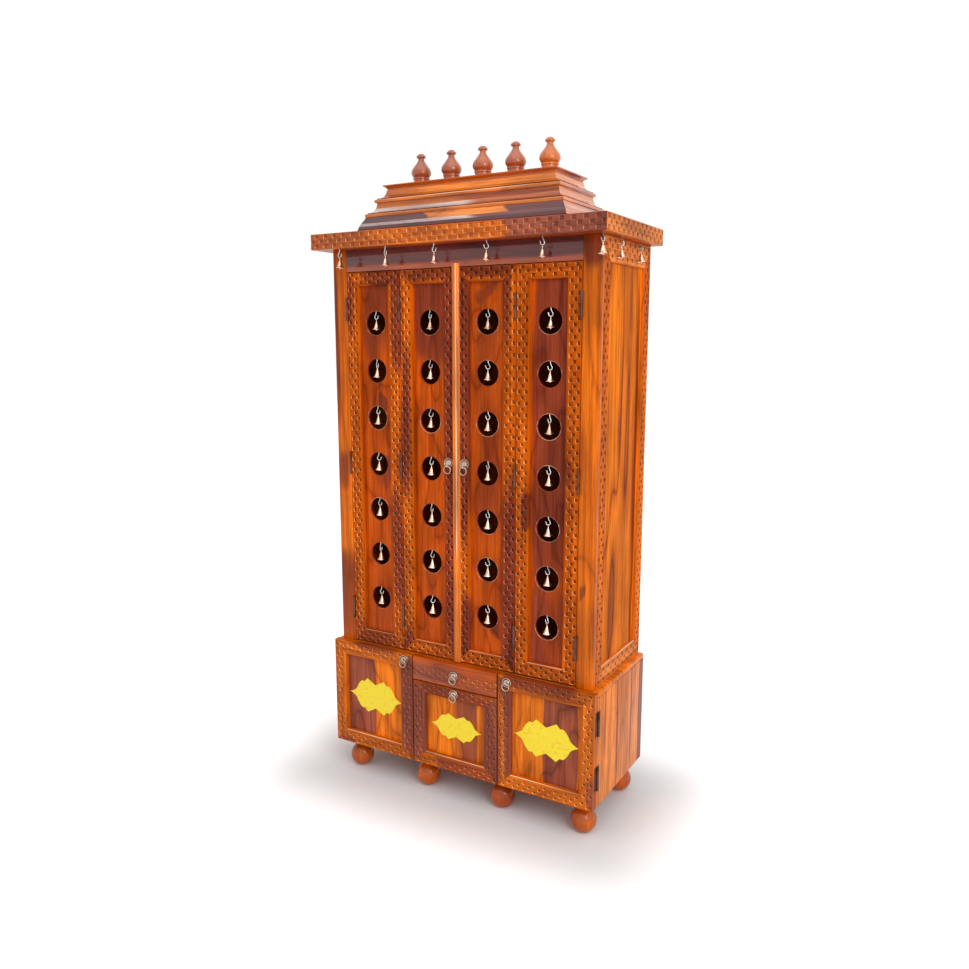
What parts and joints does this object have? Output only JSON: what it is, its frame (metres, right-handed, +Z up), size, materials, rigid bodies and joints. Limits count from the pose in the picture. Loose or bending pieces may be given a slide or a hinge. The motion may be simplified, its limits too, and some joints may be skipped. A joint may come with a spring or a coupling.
{
  "type": "household shrine cabinet",
  "caption": "Tall carved wooden prayer cabinet with folding bell-hung leaves, a tiered finial roof and a base with doors and drawers on ball feet.",
  "frame": {"origin": "on the floor below the middle of the whole cabinet", "axes": "+X to the cabinet's right as seen from the front, -Y out of its front, +Z up"},
  "size_m": [1.02, 0.45, 2.1],
  "materials": {
    "carved_wood": "gloss",
    "plank_wood": "gloss",
    "dark_wood": "gloss",
    "roof_wood": "gloss",
    "turned_wood": "gloss",
    "inner_wood": "satin",
    "iron": "satin",
    "pull_metal": "satin",
    "bell_brass": "gloss",
    "gold_plate": "satin"
  },
  "bodies": {
    "cabinet": {"leaf_1_frame": "carved_wood", "leaf_2_frame": "carved_wood", "leaf_3_frame": "carved_wood", "leaf_4_frame": "carved_wood", "side_frames": "carved_wood", "cornice_slab": "carved_wood", "leaf_1_panel": "plank_wood", "leaf_2_panel": "plank_wood", "leaf_3_panel": "plank_wood", "leaf_4_panel": "plank_wood", "side_panels": "plank_wood", "base_left_side": "plank_wood", "base_right_side": "plank_wood", "base_top": "plank_wood", "front_stiles": "plank_wood", "meeting_strip": "plank_wood", "header_board": "dark_wood", "roof_skirt": "roof_wood", "roof_lower_tier": "roof_wood", "roof_upper_tier": "roof_wood", "roof_top_board": "roof_wood", "ball_feet": "turned_wood", "kalash_finials": "turned_wood", "base_bottom": "inner_wood", "base_back": "inner_wood", "base_dividers": "inner_wood", "drawer_shelf": "inner_wood", "drawer_runners": "inner_wood", "shrine_back": "inner_wood", "base_hinge_leaves": "iron", "tall_leaf_hinges": "iron", "leaf_bosses": "pull_metal", "leaf_bells": "bell_brass", "eave_bells": "bell_brass"},
    "left_door": {"left_door_frame": "carved_wood", "left_door_panel": "plank_wood", "left_door_plate": "gold_plate", "left_door_hinge_leaves": "iron", "left_door_boss": "pull_metal"},
    "right_door": {"right_door_frame": "carved_wood", "right_door_panel": "plank_wood", "right_door_plate": "gold_plate", "right_door_hinge_leaves": "iron", "right_door_boss": "pull_metal"},
    "drawer": {"drawer_front": "carved_wood", "drawer_box": "inner_wood", "drawer_boss": "pull_metal"},
    "deep_drawer": {"deep_drawer_frame": "carved_wood", "deep_drawer_panel": "plank_wood", "deep_drawer_plate": "gold_plate", "deep_drawer_box": "inner_wood", "deep_drawer_boss": "pull_metal"},
    "left_door_pull": {"left_door_ring": "pull_metal"},
    "right_door_pull": {"right_door_ring": "pull_metal"},
    "drawer_pull": {"drawer_ring": "pull_metal"},
    "deep_drawer_pull": {"deep_drawer_ring": "pull_metal"},
    "left_leaf_pull": {"left_leaf_ring": "pull_metal"},
    "right_leaf_pull": {"right_leaf_ring": "pull_metal"}
  },
  "joints": [
    {"name": "left_door_hinge", "type": "hinge", "parent": "cabinet", "child": "left_door", "pos_m": [-0.494, -0.1615, 0.293], "axis": [0, 0, -1], "range_deg": [0, 110]},
    {"name": "right_door_hinge", "type": "hinge", "parent": "cabinet", "child": "right_door", "pos_m": [0.494, -0.1615, 0.293], "axis": [0, 0, 1], "range_deg": [0, 110]},
    {"name": "drawer_slide", "type": "slide", "parent": "cabinet", "child": "drawer", "axis": [0, -1, 0], "range_m": [0, 0.25]},
    {"name": "deep_drawer_slide", "type": "slide", "parent": "cabinet", "child": "deep_drawer", "axis": [0, -1, 0], "range_m": [0, 0.25]},
    {"name": "left_door_pull_hinge", "type": "hinge", "parent": "left_door", "child": "left_door_pull", "pos_m": [-0.1955, -0.197, 0.458], "axis": [-1, 0, 0], "range_deg": [0, 120]},
    {"name": "right_door_pull_hinge", "type": "hinge", "parent": "right_door", "child": "right_door_pull", "pos_m": [0.1955, -0.197, 0.458], "axis": [-1, 0, 0], "range_deg": [0, 120]},
    {"name": "drawer_pull_hinge", "type": "hinge", "parent": "drawer", "child": "drawer_pull", "pos_m": [0, -0.197, 0.43875], "axis": [-1, 0, 0], "range_deg": [0, 120]},
    {"name": "deep_drawer_pull_hinge", "type": "hinge", "parent": "deep_drawer", "child": "deep_drawer_pull", "pos_m": [0, -0.197, 0.3765], "axis": [-1, 0, 0], "range_deg": [0, 120]},
    {"name": "left_leaf_pull_hinge", "type": "hinge", "parent": "cabinet", "child": "left_leaf_pull", "pos_m": [-0.029, -0.172, 1.119], "axis": [-1, 0, 0], "range_deg": [0, 120]},
    {"name": "right_leaf_pull_hinge", "type": "hinge", "parent": "cabinet", "child": "right_leaf_pull", "pos_m": [0.029, -0.172, 1.119], "axis": [-1, 0, 0], "range_deg": [0, 120]}
  ]
}
